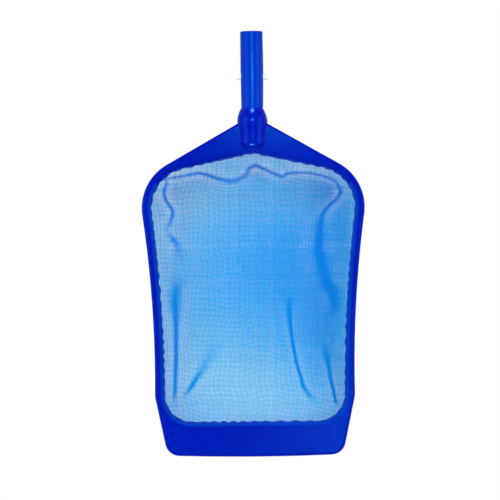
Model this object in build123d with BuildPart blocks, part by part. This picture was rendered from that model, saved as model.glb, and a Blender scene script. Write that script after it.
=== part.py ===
"""Pool leaf skimmer head: a moulded frame with a scooping lip, a shallow net bag and a pole socket.

Frame of reference: +Z runs up the pole, +X to the right and +Y backwards, towards the bag.
The origin is on the tube's axis, at the top of its straight outer wall, where the pole comes on.
All sizes are millimetres, and every drop is measured down from the origin.
"""
from build123d import *
from math import asin, atan2, cos, degrees, hypot, radians, sin
import os

# Overall sizes
OVERALL_HEIGHT = 526.5          # origin to the middle of the lip's scooping edge
OVERALL_WIDTH = 276.6           # across the widest part of the frame
FRAME_DEPTH = 16.0              # front face to back face of the moulding

# Frame outline, seen from the front
PEAK_DROP = 102.9               # where both shoulder lines would meet
SHOULDER_ANGLE = 29.6           # how far the shoulders fall below the horizontal
CORNER_RADIUS = 62.0            # outer radius of the two top corners
SIDE_LEAN = 8.0                 # how much the sides lean in where they leave the corners
WAIST_WIDTH = 248.2             # across the frame where the lip begins
LIP_SIDE_HEIGHT = 75.5          # lip edge to the waist
LIP_EDGE_WIDTH = 217.5          # across the lip at its edge, before the corners are rounded
LIP_BOW = 2.2                   # how much the edge bows out between its corners
LIP_CORNER_RADIUS = 18.0
WAIST_RADIUS = 24.0

# Opening
RAIL_WIDTH = 11.0
OPENING_TOP = 149.2             # drop to the opening's peak
LIP_HEIGHT = 42.1               # lip edge to the opening
OPENING_LEAN = 7.0
OPENING_LOW_RADIUS = 35.0

# Sections of the moulding
FRONT_ROUND = 3.5               # rounding of the outer front edge
BEAD_WIDTH = 4.0                # stepped-down bead round the opening
BEAD_DROP = 2.0
BEAD_ROUND = 0.8
GROOVE_INSET = 2.0              # wall between the opening and the net groove
GROOVE_WIDTH = 4.8
GROOVE_DEPTH = 8.0
HEM_WALL_DROP = 4.0             # how much lower the groove's inner wall is, so the net can pass
WEB_SKIN = 4.0
WEB_WALL = 4.0
RIB_WIDTH = 2.6
RIB_PLACES = (34.0, 56.0, 78.0)
BLADE_THICKNESS = 5.0           # lip edge
LIP_LAND = 3.0                  # flat strip behind the groove before the lip starts to thin
DATE_RADIUS = 4.2               # moulder's date mark: a ring, twelve ticks round it and a pointer
DATE_LINE = 0.9
DATE_TICKS = 12
DATE_TICK_LENGTH = 1.5
DATE_DEPTH = 0.35
DATE_HEIGHT = 28.9              # date mark above the lip edge

# Hub and tube
COLLAR_DROP = 94.2              # drop to the top of the hub's collar
COLLAR_RADIUS = 18.9
COLLAR_HEIGHT = 33.5
COLLAR_LEDGE = 0.3              # ledge where the collar starts round the tube
BOSS_RADIUS = 17.0
BOSS_BOTTOM = 146.6
BOSS_END = 11.0                 # height of the boss's rounded lower end
HUB_BORE_DEPTH = 35.0
TUBE_RADIUS = 14.3              # slips into the bore of a 1-1/4 inch pole
TUBE_LAND = 48.0                # straight outer wall below the rounded mouth
TUBE_FOOT_RADIUS = 13.7
TUBE_PRESS_RADIUS = 13.4
TUBE_BORE_RADIUS = 11.8
MOUTH_ROUND = 0.7
SCREW_DROP = 117.0
SCREW_RADIUS = 2.0
SCREW_HEAD_RADIUS = 3.9
SCREW_HEAD_HEIGHT = 2.4
SCREW_LENGTH = 9.0
SCREW_CLEARANCE = 0.02
SPOTFACE_CLEARANCE = 0.6

# Spring clip
PIN_DROP = 56.0                 # drop to the pins' axis
PIN_RADIUS = 3.175
PIN_PROUD = 5.0                 # how far the pins stand out of the tube
PIN_SHOULDER_RADIUS = 3.45      # thicker stretch of each pin, inside the tube's wall
PIN_DOME = 1.4
PIN_WINDOW_WIDTH = 7.2
PIN_WINDOW_HEIGHT = 9.8
PIN_WINDOW_RISE = 0.8
CLIP_WIDTH = 9.0
CLIP_THICKNESS = 1.6
CLIP_HINGE_DROP = 100.0
CLIP_BEND_RADIUS = 4.6
CLIP_ARM_TOP_DROP = 49.0
CLIP_PIN_REACH = 9.5            # axis to the arm's middle at the pins
CLIP_GAP = 0.05

# Net and its fixing
HEM_CLEARANCE = 0.15
HEM_HEIGHT = 3.9
CORD_SIZE = 2.4
RING_CLEARANCE = 0.15
NET_FLANGE = 0.3
SEAT_GAP = 0.05
NET_WALL = 1.2
NET_GAP = 0.4                   # net to the frame's inner wall
BAG_DEPTH_TOP = 36.0
BAG_DEPTH_BOTTOM = 12.0
BAG_DRAW = 24.0                 # how far the bag's floor is drawn in from the opening
BAG_BELLY = 9.0                 # draw-in half way down the walls
BAG_ROUND = 8.0

FRONT_Y = -FRAME_DEPTH / 2
BACK_Y = FRAME_DEPTH / 2
GROOVE_FLOOR_Y = BACK_Y - GROOVE_DEPTH
HEM_WALL_Y = BACK_Y - HEM_WALL_DROP
OPENING_BOTTOM = OVERALL_HEIGHT - LIP_HEIGHT
WAIST_DROP = OVERALL_HEIGHT - LIP_SIDE_HEIGHT


def front_plane(y):
    """The plane of the frame at depth y; sketches on it are drawn as seen from the front."""
    return Plane.XZ.offset(-y)


def polar(centre, radius, angle):
    """The point at a radius and angle, in degrees, from a centre."""
    return (centre[0] + radius * cos(radians(angle)), centre[1] + radius * sin(radians(angle)))


def corner_centre():
    """The centre shared by the top corner's outer and inner arcs."""
    x = OVERALL_WIDTH / 2 - CORNER_RADIUS
    a = radians(SHOULDER_ANGLE)
    return (x, -PEAK_DROP - (CORNER_RADIUS + x * sin(a)) / cos(a))


def outer_outline():
    """The right half of the frame's outline, then its mirror image."""
    centre = corner_centre()
    start = 90 - SHOULDER_ANGLE
    shoulder_end = polar(centre, CORNER_RADIUS, start)
    side_start = polar(centre, CORNER_RADIUS, -SIDE_LEAN)
    waist = (WAIST_WIDTH / 2, -WAIST_DROP)
    lean = radians(SIDE_LEAN)
    Line((0, -PEAK_DROP), shoulder_end)
    CenterArc(centre, CORNER_RADIUS, start, -start - SIDE_LEAN)
    TangentArc(side_start, waist, tangent=(-sin(lean), -cos(lean)))
    lip_corner = (LIP_EDGE_WIDTH / 2, -OVERALL_HEIGHT + LIP_BOW)
    Line(waist, lip_corner)
    TangentArc((0, -OVERALL_HEIGHT), lip_corner, tangent=(1, 0))
    mirror(about=Plane.YZ)


def opening_outline():
    """The right half of the opening's outline, then its mirror image."""
    centre = corner_centre()
    radius = CORNER_RADIUS - RAIL_WIDTH
    run = (centre[0], centre[1] + OPENING_TOP)
    reach = hypot(run[0], run[1])
    slope = degrees(atan2(run[1], run[0]) + asin(radius / reach))
    roof_end = polar(centre, radius, 90 + slope)
    side_start = polar(centre, radius, -OPENING_LEAN)
    low_corner = (WAIST_WIDTH / 2 - RAIL_WIDTH, -OPENING_BOTTOM)
    lean = radians(OPENING_LEAN)
    Line((0, -OPENING_TOP), roof_end)
    CenterArc(centre, radius, 90 + slope, -90 - slope - OPENING_LEAN)
    TangentArc(side_start, low_corner, tangent=(-sin(lean), -cos(lean)))
    Line(low_corner, (0, -OPENING_BOTTOM))
    mirror(about=Plane.YZ)


def outer_face():
    """The frame's outline as a face, with its lower corners rounded."""
    with BuildSketch(mode=Mode.PRIVATE) as sketch:
        with BuildLine():
            outer_outline()
        make_face()
        corners = [v for v in sketch.vertices() if abs(v.Y + OVERALL_HEIGHT - LIP_BOW) < 0.01]
        fillet(corners, LIP_CORNER_RADIUS)
        waist = [v for v in sketch.vertices() if abs(v.Y + WAIST_DROP) < 0.01]
        fillet(waist, WAIST_RADIUS)
    return sketch.sketch


def opening_face(growth=0.0):
    """The opening as a face, grown outwards or drawn in all round."""
    with BuildSketch(mode=Mode.PRIVATE) as sketch:
        with BuildLine():
            opening_outline()
        make_face()
        fillet(sketch.vertices().group_by(Axis.Y)[0], OPENING_LOW_RADIUS)
        if growth:
            offset(amount=growth, kind=Kind.INTERSECTION)
    return sketch.sketch


def ring_sketch(inner_growth, outer_growth):
    """The band round the opening between two distances from its edge."""
    add(opening_face(outer_growth))
    add(opening_face(inner_growth), mode=Mode.SUBTRACT)


def finish(builder, name):
    """Labels a finished piece and writes it to its own file."""
    builder.part.label = name
    export_step(builder.part, f"parts/{name}.step")


os.makedirs("parts", exist_ok=True)

# Front frame: one moulding of web, rails, lip and hub
with BuildPart() as front_frame:
    with BuildSketch(front_plane(BACK_Y)):
        add(outer_face())
        add(opening_face(), mode=Mode.SUBTRACT)
    extrude(amount=FRAME_DEPTH)
    front_edges = front_frame.faces().sort_by(Axis.Y)[0].outer_wire().edges()
    fillet(front_edges, FRONT_ROUND)
    with BuildSketch(front_plane(FRONT_Y + BEAD_DROP)):
        ring_sketch(-1, BEAD_WIDTH)
    extrude(amount=BEAD_DROP, mode=Mode.SUBTRACT)
    # pockets that core out the web from behind, with ribs left standing between them
    with BuildSketch(front_plane(BACK_Y)):
        add(outer_face())
        offset(amount=-WEB_WALL, kind=Kind.INTERSECTION)
        add(opening_face(RAIL_WIDTH), mode=Mode.SUBTRACT)
        with Locations((0, corner_centre()[1] - OVERALL_WIDTH / 2)):
            Rectangle(OVERALL_WIDTH, OVERALL_WIDTH, mode=Mode.SUBTRACT)
        Rectangle(2 * COLLAR_RADIUS + WEB_WALL, OVERALL_HEIGHT, mode=Mode.SUBTRACT)
        for place in RIB_PLACES:
            with Locations((place, 0), (-place, 0)):
                Rectangle(RIB_WIDTH, OVERALL_HEIGHT, mode=Mode.SUBTRACT)
    extrude(amount=FRAME_DEPTH - WEB_SKIN, mode=Mode.SUBTRACT)
    # the lip thins from behind towards its scooping edge
    with BuildSketch(Plane.YZ):
        lip_start = -OPENING_BOTTOM - GROOVE_INSET - GROOVE_WIDTH - LIP_LAND
        with BuildLine():
            Polyline(
                (BACK_Y, lip_start),
                (FRONT_Y + BLADE_THICKNESS, -OVERALL_HEIGHT),
                (FRONT_Y + BLADE_THICKNESS, -OVERALL_HEIGHT - 1),
                (BACK_Y + 1, -OVERALL_HEIGHT - 1),
                (BACK_Y + 1, lip_start),
                close=True,
            )
        make_face()
    extrude(amount=OVERALL_WIDTH, both=True, mode=Mode.SUBTRACT)
    # hub: a collar that swells out of the tube's foot and a round-ended boss below it
    with BuildSketch(Plane.XZ):
        with BuildLine():
            Line((0, -COLLAR_DROP), (TUBE_FOOT_RADIUS + COLLAR_LEDGE, -COLLAR_DROP))
            Spline(
                (TUBE_FOOT_RADIUS + COLLAR_LEDGE, -COLLAR_DROP),
                (COLLAR_RADIUS, -COLLAR_DROP - 0.5 * COLLAR_HEIGHT),
                (BOSS_RADIUS, -COLLAR_DROP - COLLAR_HEIGHT),
                tangents=((0.6, -1), (0, -1), (0, -1)),
            )
            Line((BOSS_RADIUS, -COLLAR_DROP - COLLAR_HEIGHT), (BOSS_RADIUS, -BOSS_BOTTOM + BOSS_END))
            Spline(
                (BOSS_RADIUS, -BOSS_BOTTOM + BOSS_END),
                (0, -BOSS_BOTTOM),
                tangents=((0, -1), (-1, 0)),
            )
            Line((0, -BOSS_BOTTOM), (0, -COLLAR_DROP))
        make_face()
    revolve(axis=Axis.Z)
    # net groove, cut from behind through the foot of the hub too, and its lower inner wall
    with BuildSketch(front_plane(COLLAR_RADIUS)):
        ring_sketch(GROOVE_INSET, GROOVE_INSET + GROOVE_WIDTH)
    extrude(amount=COLLAR_RADIUS - GROOVE_FLOOR_Y, mode=Mode.SUBTRACT)
    with BuildSketch(front_plane(COLLAR_RADIUS)):
        ring_sketch(-1, GROOVE_INSET)
    extrude(amount=COLLAR_RADIUS - HEM_WALL_Y, mode=Mode.SUBTRACT)
    with BuildSketch(Plane.XY.offset(-COLLAR_DROP)):
        Circle(TUBE_PRESS_RADIUS)
    extrude(amount=-HUB_BORE_DEPTH, mode=Mode.SUBTRACT)
    # screw hole and spotface at the back of the hub
    with BuildSketch(Plane.XZ.offset(-COLLAR_RADIUS)):
        with Locations((0, -SCREW_DROP)):
            Circle(SCREW_RADIUS + SCREW_CLEARANCE)
    extrude(amount=COLLAR_RADIUS, mode=Mode.SUBTRACT)
    with BuildSketch(Plane.XZ.offset(-COLLAR_RADIUS)):
        with Locations((0, -SCREW_DROP)):
            Circle(SCREW_HEAD_RADIUS + SPOTFACE_CLEARANCE)
    extrude(amount=SCREW_HEAD_HEIGHT, mode=Mode.SUBTRACT)
    # date mark on the lip
    with BuildSketch(front_plane(FRONT_Y)):
        with Locations((0, -OVERALL_HEIGHT + DATE_HEIGHT)):
            Circle(DATE_RADIUS)
            Circle(DATE_RADIUS - DATE_LINE, mode=Mode.SUBTRACT)
            SlotOverall(DATE_RADIUS, DATE_LINE, rotation=90)
            with PolarLocations(DATE_RADIUS + DATE_TICK_LENGTH, DATE_TICKS):
                Rectangle(DATE_TICK_LENGTH, DATE_LINE)
    extrude(amount=-DATE_DEPTH, mode=Mode.SUBTRACT)
finish(front_frame, "front_frame")

# Socket tube: straight where the pole grips it, then drawn in a little down to the hub
with BuildPart() as socket_tube:
    with BuildSketch(Plane.XZ):
        with BuildLine():
            Polyline(
                (TUBE_BORE_RADIUS, MOUTH_ROUND),
                (TUBE_RADIUS, MOUTH_ROUND),
                (TUBE_RADIUS, -TUBE_LAND),
                (TUBE_FOOT_RADIUS, -COLLAR_DROP),
                (TUBE_PRESS_RADIUS, -COLLAR_DROP),
                (TUBE_PRESS_RADIUS, -COLLAR_DROP - HUB_BORE_DEPTH),
                (TUBE_BORE_RADIUS, -COLLAR_DROP - HUB_BORE_DEPTH),
                close=True,
            )
        make_face()
    revolve(axis=Axis.Z)
    fillet(socket_tube.edges().group_by(Axis.Z)[-1], MOUTH_ROUND)
    with BuildSketch(Plane.YZ):
        with Locations((0, -PIN_DROP + PIN_WINDOW_RISE)):
            SlotOverall(PIN_WINDOW_HEIGHT, PIN_WINDOW_WIDTH, rotation=90)
    extrude(amount=TUBE_RADIUS + 1, both=True, mode=Mode.SUBTRACT)
    with BuildSketch(Plane.XZ.offset(-TUBE_RADIUS)):
        with Locations((0, -SCREW_DROP)):
            Circle(SCREW_RADIUS + SCREW_CLEARANCE)
    extrude(amount=TUBE_RADIUS, mode=Mode.SUBTRACT)
finish(socket_tube, "socket_tube")

# Hub screw: pan head in the spotface, its shank through the hub into the tube
with BuildPart() as hub_screw:
    head_seat = COLLAR_RADIUS - SCREW_HEAD_HEIGHT
    with BuildSketch(Plane.XZ.offset(-head_seat)):
        with Locations((0, -SCREW_DROP)):
            Circle(SCREW_HEAD_RADIUS)
    extrude(amount=-SCREW_HEAD_HEIGHT)
    fillet(hub_screw.edges().group_by(Axis.Y)[-1], SCREW_HEAD_HEIGHT / 2)
    with BuildSketch(Plane.XZ.offset(-head_seat)):
        with Locations((0, -SCREW_DROP)):
            Circle(SCREW_RADIUS)
    extrude(amount=SCREW_LENGTH)
    chamfer(hub_screw.edges().group_by(Axis.Y)[0], SCREW_RADIUS / 2)
    with BuildSketch(Plane.XZ.offset(-head_seat - SCREW_HEAD_HEIGHT)):
        with Locations((0, -SCREW_DROP)):
            Rectangle(SCREW_HEAD_RADIUS, SCREW_RADIUS / 2)
            Rectangle(SCREW_RADIUS / 2, SCREW_HEAD_RADIUS)
    extrude(amount=SCREW_HEAD_HEIGHT / 2, mode=Mode.SUBTRACT)
finish(hub_screw, "hub_screw")

# Hem tape: a channel on the groove's floor, folded round the cord
hem_top_y = GROOVE_FLOOR_Y + SEAT_GAP + HEM_HEIGHT
cord_margin = (GROOVE_WIDTH - CORD_SIZE) / 2
with BuildPart() as hem_tape:
    with BuildSketch(front_plane(hem_top_y)):
        ring_sketch(GROOVE_INSET + HEM_CLEARANCE, GROOVE_INSET + GROOVE_WIDTH - HEM_CLEARANCE)
    extrude(amount=HEM_HEIGHT)
    with BuildSketch(front_plane(hem_top_y)):
        ring_sketch(GROOVE_INSET + cord_margin - SEAT_GAP, GROOVE_INSET + cord_margin + CORD_SIZE + SEAT_GAP)
    extrude(amount=CORD_SIZE + 2 * SEAT_GAP, mode=Mode.SUBTRACT)
finish(hem_tape, "hem_tape")

# Hem cord: lies in the tape's channel
with BuildPart() as hem_cord:
    with BuildSketch(front_plane(hem_top_y - SEAT_GAP)):
        ring_sketch(GROOVE_INSET + cord_margin, GROOVE_INSET + cord_margin + CORD_SIZE)
    extrude(amount=CORD_SIZE)
    fillet(hem_cord.edges(), CORD_SIZE * 0.42)
finish(hem_cord, "hem_cord")

# Clamp ring: fills the groove's mouth and presses the net on the hem
ring_seat_y = hem_top_y + SEAT_GAP + NET_FLANGE + SEAT_GAP
with BuildPart() as clamp_ring:
    with BuildSketch(front_plane(BACK_Y)):
        ring_sketch(GROOVE_INSET + RING_CLEARANCE, GROOVE_INSET + GROOVE_WIDTH - RING_CLEARANCE)
    extrude(amount=BACK_Y - ring_seat_y)
    chamfer(clamp_ring.faces().sort_by(Axis.Y)[-1].edges(), BEAD_ROUND)
finish(clamp_ring, "clamp_ring")


def bag_plane(share, wall):
    """A plane across the bag, from its mouth at share 0 to its slanted floor at share 1."""
    slant = share * atan2(BAG_DEPTH_TOP - BAG_DEPTH_BOTTOM, OPENING_BOTTOM - OPENING_TOP)
    depth = share * ((BAG_DEPTH_TOP + BAG_DEPTH_BOTTOM) / 2 - wall)
    middle = (0, hem_top_y + depth, -(OPENING_TOP + OPENING_BOTTOM) / 2)
    return Plane(origin=middle, x_dir=(1, 0, 0), z_dir=(0, -cos(slant), sin(slant)))


def bag_form(wall):
    """The bag's form as a loft from mouth to floor, inside by the given wall."""
    with BuildPart(mode=Mode.PRIVATE) as form:
        for share, draw in ((0, NET_GAP), (0.5, BAG_BELLY), (1, BAG_DRAW)):
            with BuildSketch(bag_plane(share, wall)):
                with Locations((0, (OPENING_TOP + OPENING_BOTTOM) / 2)):
                    add(opening_face(-draw - wall))
        loft()
        fillet(form.faces().sort_by(Axis.Y)[-1].edges(), BAG_ROUND - wall)
    return form.part


net_y = hem_top_y + SEAT_GAP

# Net bag: a thin shell, open at the mouth, with a flange that the ring clamps
with BuildPart() as net_bag:
    add(bag_form(0))
    add(bag_form(NET_WALL), mode=Mode.SUBTRACT)
    with BuildSketch(front_plane(net_y + NET_FLANGE)):
        ring_sketch(-NET_GAP - NET_WALL, GROOVE_INSET + GROOVE_WIDTH - HEM_CLEARANCE)
    extrude(amount=NET_FLANGE)
finish(net_bag, "net_bag")


def clip_arm(side):
    """One arm of the clip with its pin, on the right for side 1 and on the left for side -1."""
    lean = atan2(CLIP_PIN_REACH - CLIP_BEND_RADIUS, CLIP_HINGE_DROP - PIN_DROP)
    foot = (CLIP_BEND_RADIUS, -CLIP_HINGE_DROP)
    length = (CLIP_HINGE_DROP - CLIP_ARM_TOP_DROP) / cos(lean)
    top = (foot[0] + length * sin(lean), foot[1] + length * cos(lean))
    across = (CLIP_THICKNESS / 2 * cos(lean), -CLIP_THICKNESS / 2 * sin(lean))
    with BuildPart(mode=Mode.PRIVATE) as arm:
        with BuildSketch(Plane.XZ.offset(-CLIP_WIDTH / 2)):
            with BuildLine():
                Polyline(
                    (foot[0] - across[0], foot[1] - across[1]),
                    (top[0] - across[0], top[1] - across[1]),
                    (top[0] + across[0], top[1] + across[1]),
                    (foot[0] + across[0], foot[1] + across[1]),
                    close=True,
                )
            make_face()
            with Locations(foot):
                Circle(CLIP_THICKNESS / 2)
        extrude(amount=CLIP_WIDTH)
        top_edges = arm.faces().sort_by(Axis.Z)[-1].edges().filter_by(Axis.Y, reverse=True)
        fillet(top_edges, CLIP_WIDTH / 3)
        tip = TUBE_RADIUS + PIN_PROUD
        with BuildSketch(Plane.YZ.offset(CLIP_PIN_REACH)):
            with Locations((0, -PIN_DROP)):
                Circle(PIN_RADIUS)
        extrude(amount=tip - CLIP_PIN_REACH)
        fillet(arm.edges().group_by(Axis.X)[-1], PIN_DOME)
        with BuildSketch(Plane.YZ.offset(CLIP_PIN_REACH)):
            with Locations((0, -PIN_DROP)):
                Circle(PIN_SHOULDER_RADIUS)
        extrude(amount=TUBE_RADIUS - CLIP_PIN_REACH)
        if side < 0:
            mirror(about=Plane.YZ, mode=Mode.REPLACE)
    return arm.part


# Spring clip: a V of springy plastic inside the tube, its two pins out through the windows
with BuildPart() as clip_arm_right:
    add(clip_arm(1))
finish(clip_arm_right, "clip_arm_right")

with BuildPart() as clip_arm_left:
    add(clip_arm(-1))
finish(clip_arm_left, "clip_arm_left")

with BuildPart() as clip_bend:
    bend_drop = CLIP_HINGE_DROP + CLIP_THICKNESS / 2 + CLIP_GAP
    with BuildSketch(Plane.XZ.offset(-CLIP_WIDTH / 2)):
        with Locations((0, -bend_drop)):
            Circle(CLIP_BEND_RADIUS + CLIP_THICKNESS / 2)
            Circle(CLIP_BEND_RADIUS - CLIP_THICKNESS / 2, mode=Mode.SUBTRACT)
            Rectangle(4 * CLIP_BEND_RADIUS, 4 * CLIP_BEND_RADIUS, align=(Align.CENTER, Align.MIN),
                      mode=Mode.SUBTRACT)
    extrude(amount=CLIP_WIDTH)
finish(clip_bend, "clip_bend")
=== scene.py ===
# %% [markdown]
# # Pool leaf skimmer
#
# A leaf skimmer is a flat rake for the water's surface: a moulded plastic frame with a scooping lip, a
# shallow bag of fine netting behind it, and a tube with a spring clip that locks in a telescopic pole.
# The rigid parts come from CAD and stay as they are. This lesson gives them their finishes, and makes
# the soft parts, which CAD can only block out: the netting thread by thread, its hem and its cord.

# %% Load the frame
import math

import bpy
import numpy as np
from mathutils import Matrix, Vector


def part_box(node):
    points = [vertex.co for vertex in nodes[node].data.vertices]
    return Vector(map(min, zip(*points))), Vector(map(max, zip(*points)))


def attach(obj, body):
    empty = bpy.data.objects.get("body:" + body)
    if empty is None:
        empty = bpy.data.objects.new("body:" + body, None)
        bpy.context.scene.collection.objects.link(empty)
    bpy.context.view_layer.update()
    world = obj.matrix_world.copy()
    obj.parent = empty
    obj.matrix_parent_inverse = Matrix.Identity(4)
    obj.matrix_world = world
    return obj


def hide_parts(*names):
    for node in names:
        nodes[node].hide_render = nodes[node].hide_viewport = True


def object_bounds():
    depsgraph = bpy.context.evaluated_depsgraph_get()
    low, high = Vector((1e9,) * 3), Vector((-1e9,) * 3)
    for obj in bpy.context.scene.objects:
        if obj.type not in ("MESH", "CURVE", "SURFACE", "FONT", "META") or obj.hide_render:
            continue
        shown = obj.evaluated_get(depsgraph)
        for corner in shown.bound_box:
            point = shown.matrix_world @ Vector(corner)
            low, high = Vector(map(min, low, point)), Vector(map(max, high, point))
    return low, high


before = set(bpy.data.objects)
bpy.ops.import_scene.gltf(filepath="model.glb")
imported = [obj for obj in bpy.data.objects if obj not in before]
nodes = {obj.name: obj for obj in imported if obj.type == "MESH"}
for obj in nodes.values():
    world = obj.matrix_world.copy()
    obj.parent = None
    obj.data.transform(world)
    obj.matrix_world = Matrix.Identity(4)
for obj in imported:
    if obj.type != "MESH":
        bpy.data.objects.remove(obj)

MM = 0.001
CAD_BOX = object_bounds()
print("size in mm:", [round((b - a) / MM, 1) for a, b in zip(*CAD_BOX)])

# %% [markdown]
# ## Colour management
#
# Blender's default view softens bright, saturated colours. A product shot on white wants its blue to
# stay as blue as the plastic is, so the plain Standard view is the better choice here.

# %% View
scene = bpy.context.scene
scene.view_settings.view_transform = "Standard"
scene.view_settings.look = "None"
print("view:", scene.view_settings.view_transform)

# %% [markdown]
# ## Camera
#
# The skimmer stands upright and square to a long lens, which keeps its sides nearly parallel. A small
# roll of the camera gives it the slight lean of a part that was propped up by hand.

# %% Camera
LENS_MM = 174.0
SENSOR_MM = 36.0
DISTANCE = 3.0
AIM_X = -0.0045
AIM_Z = -0.2703
ROLL = math.radians(0.55)

camera_data = bpy.data.cameras.new("studio_camera")
camera_data.lens = LENS_MM
camera_data.sensor_width = SENSOR_MM
camera = bpy.data.objects.new("studio_camera", camera_data)
scene.collection.objects.link(camera)
scene.camera = camera
camera.location = (AIM_X, -DISTANCE, AIM_Z)
camera.rotation_euler = (math.pi / 2, ROLL, 0)
print("camera at", [round(x, 3) for x in camera.location], "lens", LENS_MM)

# %% [markdown]
# ## Floor and light
#
# A pale disc below the lip is the floor. The world is a plain white that the camera sees behind the
# net's holes, and a dimmer white that lights the plastic: the Light Path node tells the two apart.

# %% Floor
FLOOR_DROP = 0.24
FLOOR_RADIUS = 1.2
FLOOR_SIDES = 96


def link(name, mesh):
    """A new object for a mesh, in the scene."""
    piece = bpy.data.objects.new(name, mesh)
    scene.collection.objects.link(piece)
    return piece


def mesh_of(name, points, faces):
    """A mesh from points in metres and faces of corner numbers."""
    mesh = bpy.data.meshes.new(name)
    mesh.from_pydata([tuple(p) for p in points], [], [tuple(f) for f in faces])
    mesh.update()
    return mesh


turns = [2 * math.pi * i / FLOOR_SIDES for i in range(FLOOR_SIDES)]
floor_z = CAD_BOX[0].z - FLOOR_DROP
rim = [(FLOOR_RADIUS * math.cos(a), FLOOR_RADIUS * math.sin(a), floor_z) for a in turns]
floor = link("floor", mesh_of("floor", rim, [range(FLOOR_SIDES)]))
print("floor at z", round(floor_z, 3))

# %% World
WORLD_SEEN = 1.0
WORLD_LIGHT = 0.55
WHITE = (1, 1, 1, 1)

world = bpy.data.worlds.new("studio_world")
scene.world = world
world.use_nodes = True
tree = world.node_tree
tree.nodes.clear()
seen = tree.nodes.new("ShaderNodeBackground")
seen.inputs["Strength"].default_value = WORLD_SEEN
seen.inputs["Color"].default_value = WHITE
lit = tree.nodes.new("ShaderNodeBackground")
lit.inputs["Strength"].default_value = WORLD_LIGHT
lit.inputs["Color"].default_value = WHITE
path = tree.nodes.new("ShaderNodeLightPath")
either = tree.nodes.new("ShaderNodeMixShader")
out = tree.nodes.new("ShaderNodeOutputWorld")
tree.links.new(path.outputs["Is Camera Ray"], either.inputs[0])
tree.links.new(lit.outputs[0], either.inputs[1])
tree.links.new(seen.outputs[0], either.inputs[2])
tree.links.new(either.outputs[0], out.inputs["Surface"])
print("world seen", WORLD_SEEN, "lighting", WORLD_LIGHT)

# %% [markdown]
# Four large panels light the piece. Their size sets how broad their reflections are on the glossy tube.
# The narrow highlights on the tube, the collar, the hub and the lip come from four small lamps that give
# no diffuse light. They show only as reflections, so they don't brighten the plastic that is near them.

# %% Lights


def softbox(name, place, aim, size, power, glint=False):
    """A rectangular area light at a place, aimed at a point. A glint only shows as a reflection."""
    data = bpy.data.lights.new(name, "AREA")
    data.shape = "RECTANGLE"
    data.size, data.size_y = size
    data.energy = power
    lamp = bpy.data.objects.new(name, data)
    scene.collection.objects.link(lamp)
    lamp.location = place
    lamp.rotation_euler = (Vector(aim) - Vector(place)).to_track_quat("-Z", "Y").to_euler()
    lamp.visible_camera = False
    lamp.visible_diffuse = not glint
    return lamp


MIDDLE = (0, 0, -0.27)
softbox("key_left", (-2.1, -1.5, 0.0), MIDDLE, (1.6, 1.8), 34)
softbox("key_right", (2.2, -1.4, -0.1), MIDDLE, (1.6, 1.8), 34)
softbox("top_strip", (-0.05, -0.9, 1.5), (0, 0, -0.2), (1.2, 0.5), 12)
softbox("collar_glint", (-0.002, -0.12, 0.03), (0, -0.016, -0.098), (0.06, 0.045), 0.6, glint=True)
softbox("tube_glint", (0.025, -0.61, -0.020), (0, 0, -0.06), (0.17, 0.072), 2.2, glint=True)
softbox("hub_glint", (-0.006, -0.13, -0.25), (0, -0.012, -0.14), (0.07, 0.02), 0.7, glint=True)
softbox("lip_glint", (0.33, -3.0, -0.76), (0.09, 0, -0.51), (0.34, 0.30), 6.0, glint=True)
softbox("back_fill", (0.5, 1.9, 0.7), MIDDLE, (1.6, 1.2), 22)

# %% [markdown]
# ## Effects shared by the finishes
#
# Moulded plastic is never quite even. Its skin has a fine grain from the mould, its rims are scuffed
# pale where they knock against the pool's wall, and dried spots of water dull it. Each effect is a node
# group, built once, that puts out masks and heights, and every finish that shows it takes its own dose.

# %% Node group helpers


def new_group(name, inputs, outputs):
    """A shader node group with float inputs (name, value) and outputs (name, socket type)."""
    group = bpy.data.node_groups.new(name, "ShaderNodeTree")
    for label, value in inputs:
        socket = group.interface.new_socket(name=label, in_out="INPUT", socket_type="NodeSocketFloat")
        socket.default_value = value
    for label, kind in outputs:
        group.interface.new_socket(name=label, in_out="OUTPUT", socket_type=kind)
    return group, group.nodes.new("NodeGroupInput"), group.nodes.new("NodeGroupOutput")


def feed(tree, value, socket):
    """Puts a number in a socket, or links another socket to it."""
    if isinstance(value, (int, float)):
        socket.default_value = value
    else:
        tree.links.new(value, socket)


def noise(tree, scale, detail=2.0, roughness=0.5):
    """A noise texture on object coordinates. Its scale, a number or a socket, is per metre."""
    place = tree.nodes.new("ShaderNodeTexCoord")
    node = tree.nodes.new("ShaderNodeTexNoise")
    feed(tree, scale, node.inputs["Scale"])
    node.inputs["Detail"].default_value = detail
    node.inputs["Roughness"].default_value = roughness
    tree.links.new(place.outputs["Object"], node.inputs["Vector"])
    return node


def remap(tree, source, low, high, to_low=0.0, to_high=1.0):
    """A clamped Map Range of a float socket."""
    node = tree.nodes.new("ShaderNodeMapRange")
    node.inputs["From Min"].default_value = low
    node.inputs["From Max"].default_value = high
    node.inputs["To Min"].default_value = to_low
    node.inputs["To Max"].default_value = to_high
    tree.links.new(source, node.inputs["Value"])
    return node.outputs["Result"]


def maths(tree, kind, first, second):
    """A Math node of two sockets or numbers."""
    node = tree.nodes.new("ShaderNodeMath")
    node.operation = kind
    for socket, value in zip(node.inputs, (first, second)):
        feed(tree, value, socket)
    return node.outputs[0]


NOISE_SPREAD = (0.3, 0.7)
print("most of a noise texture's values lie between", NOISE_SPREAD)


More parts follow.
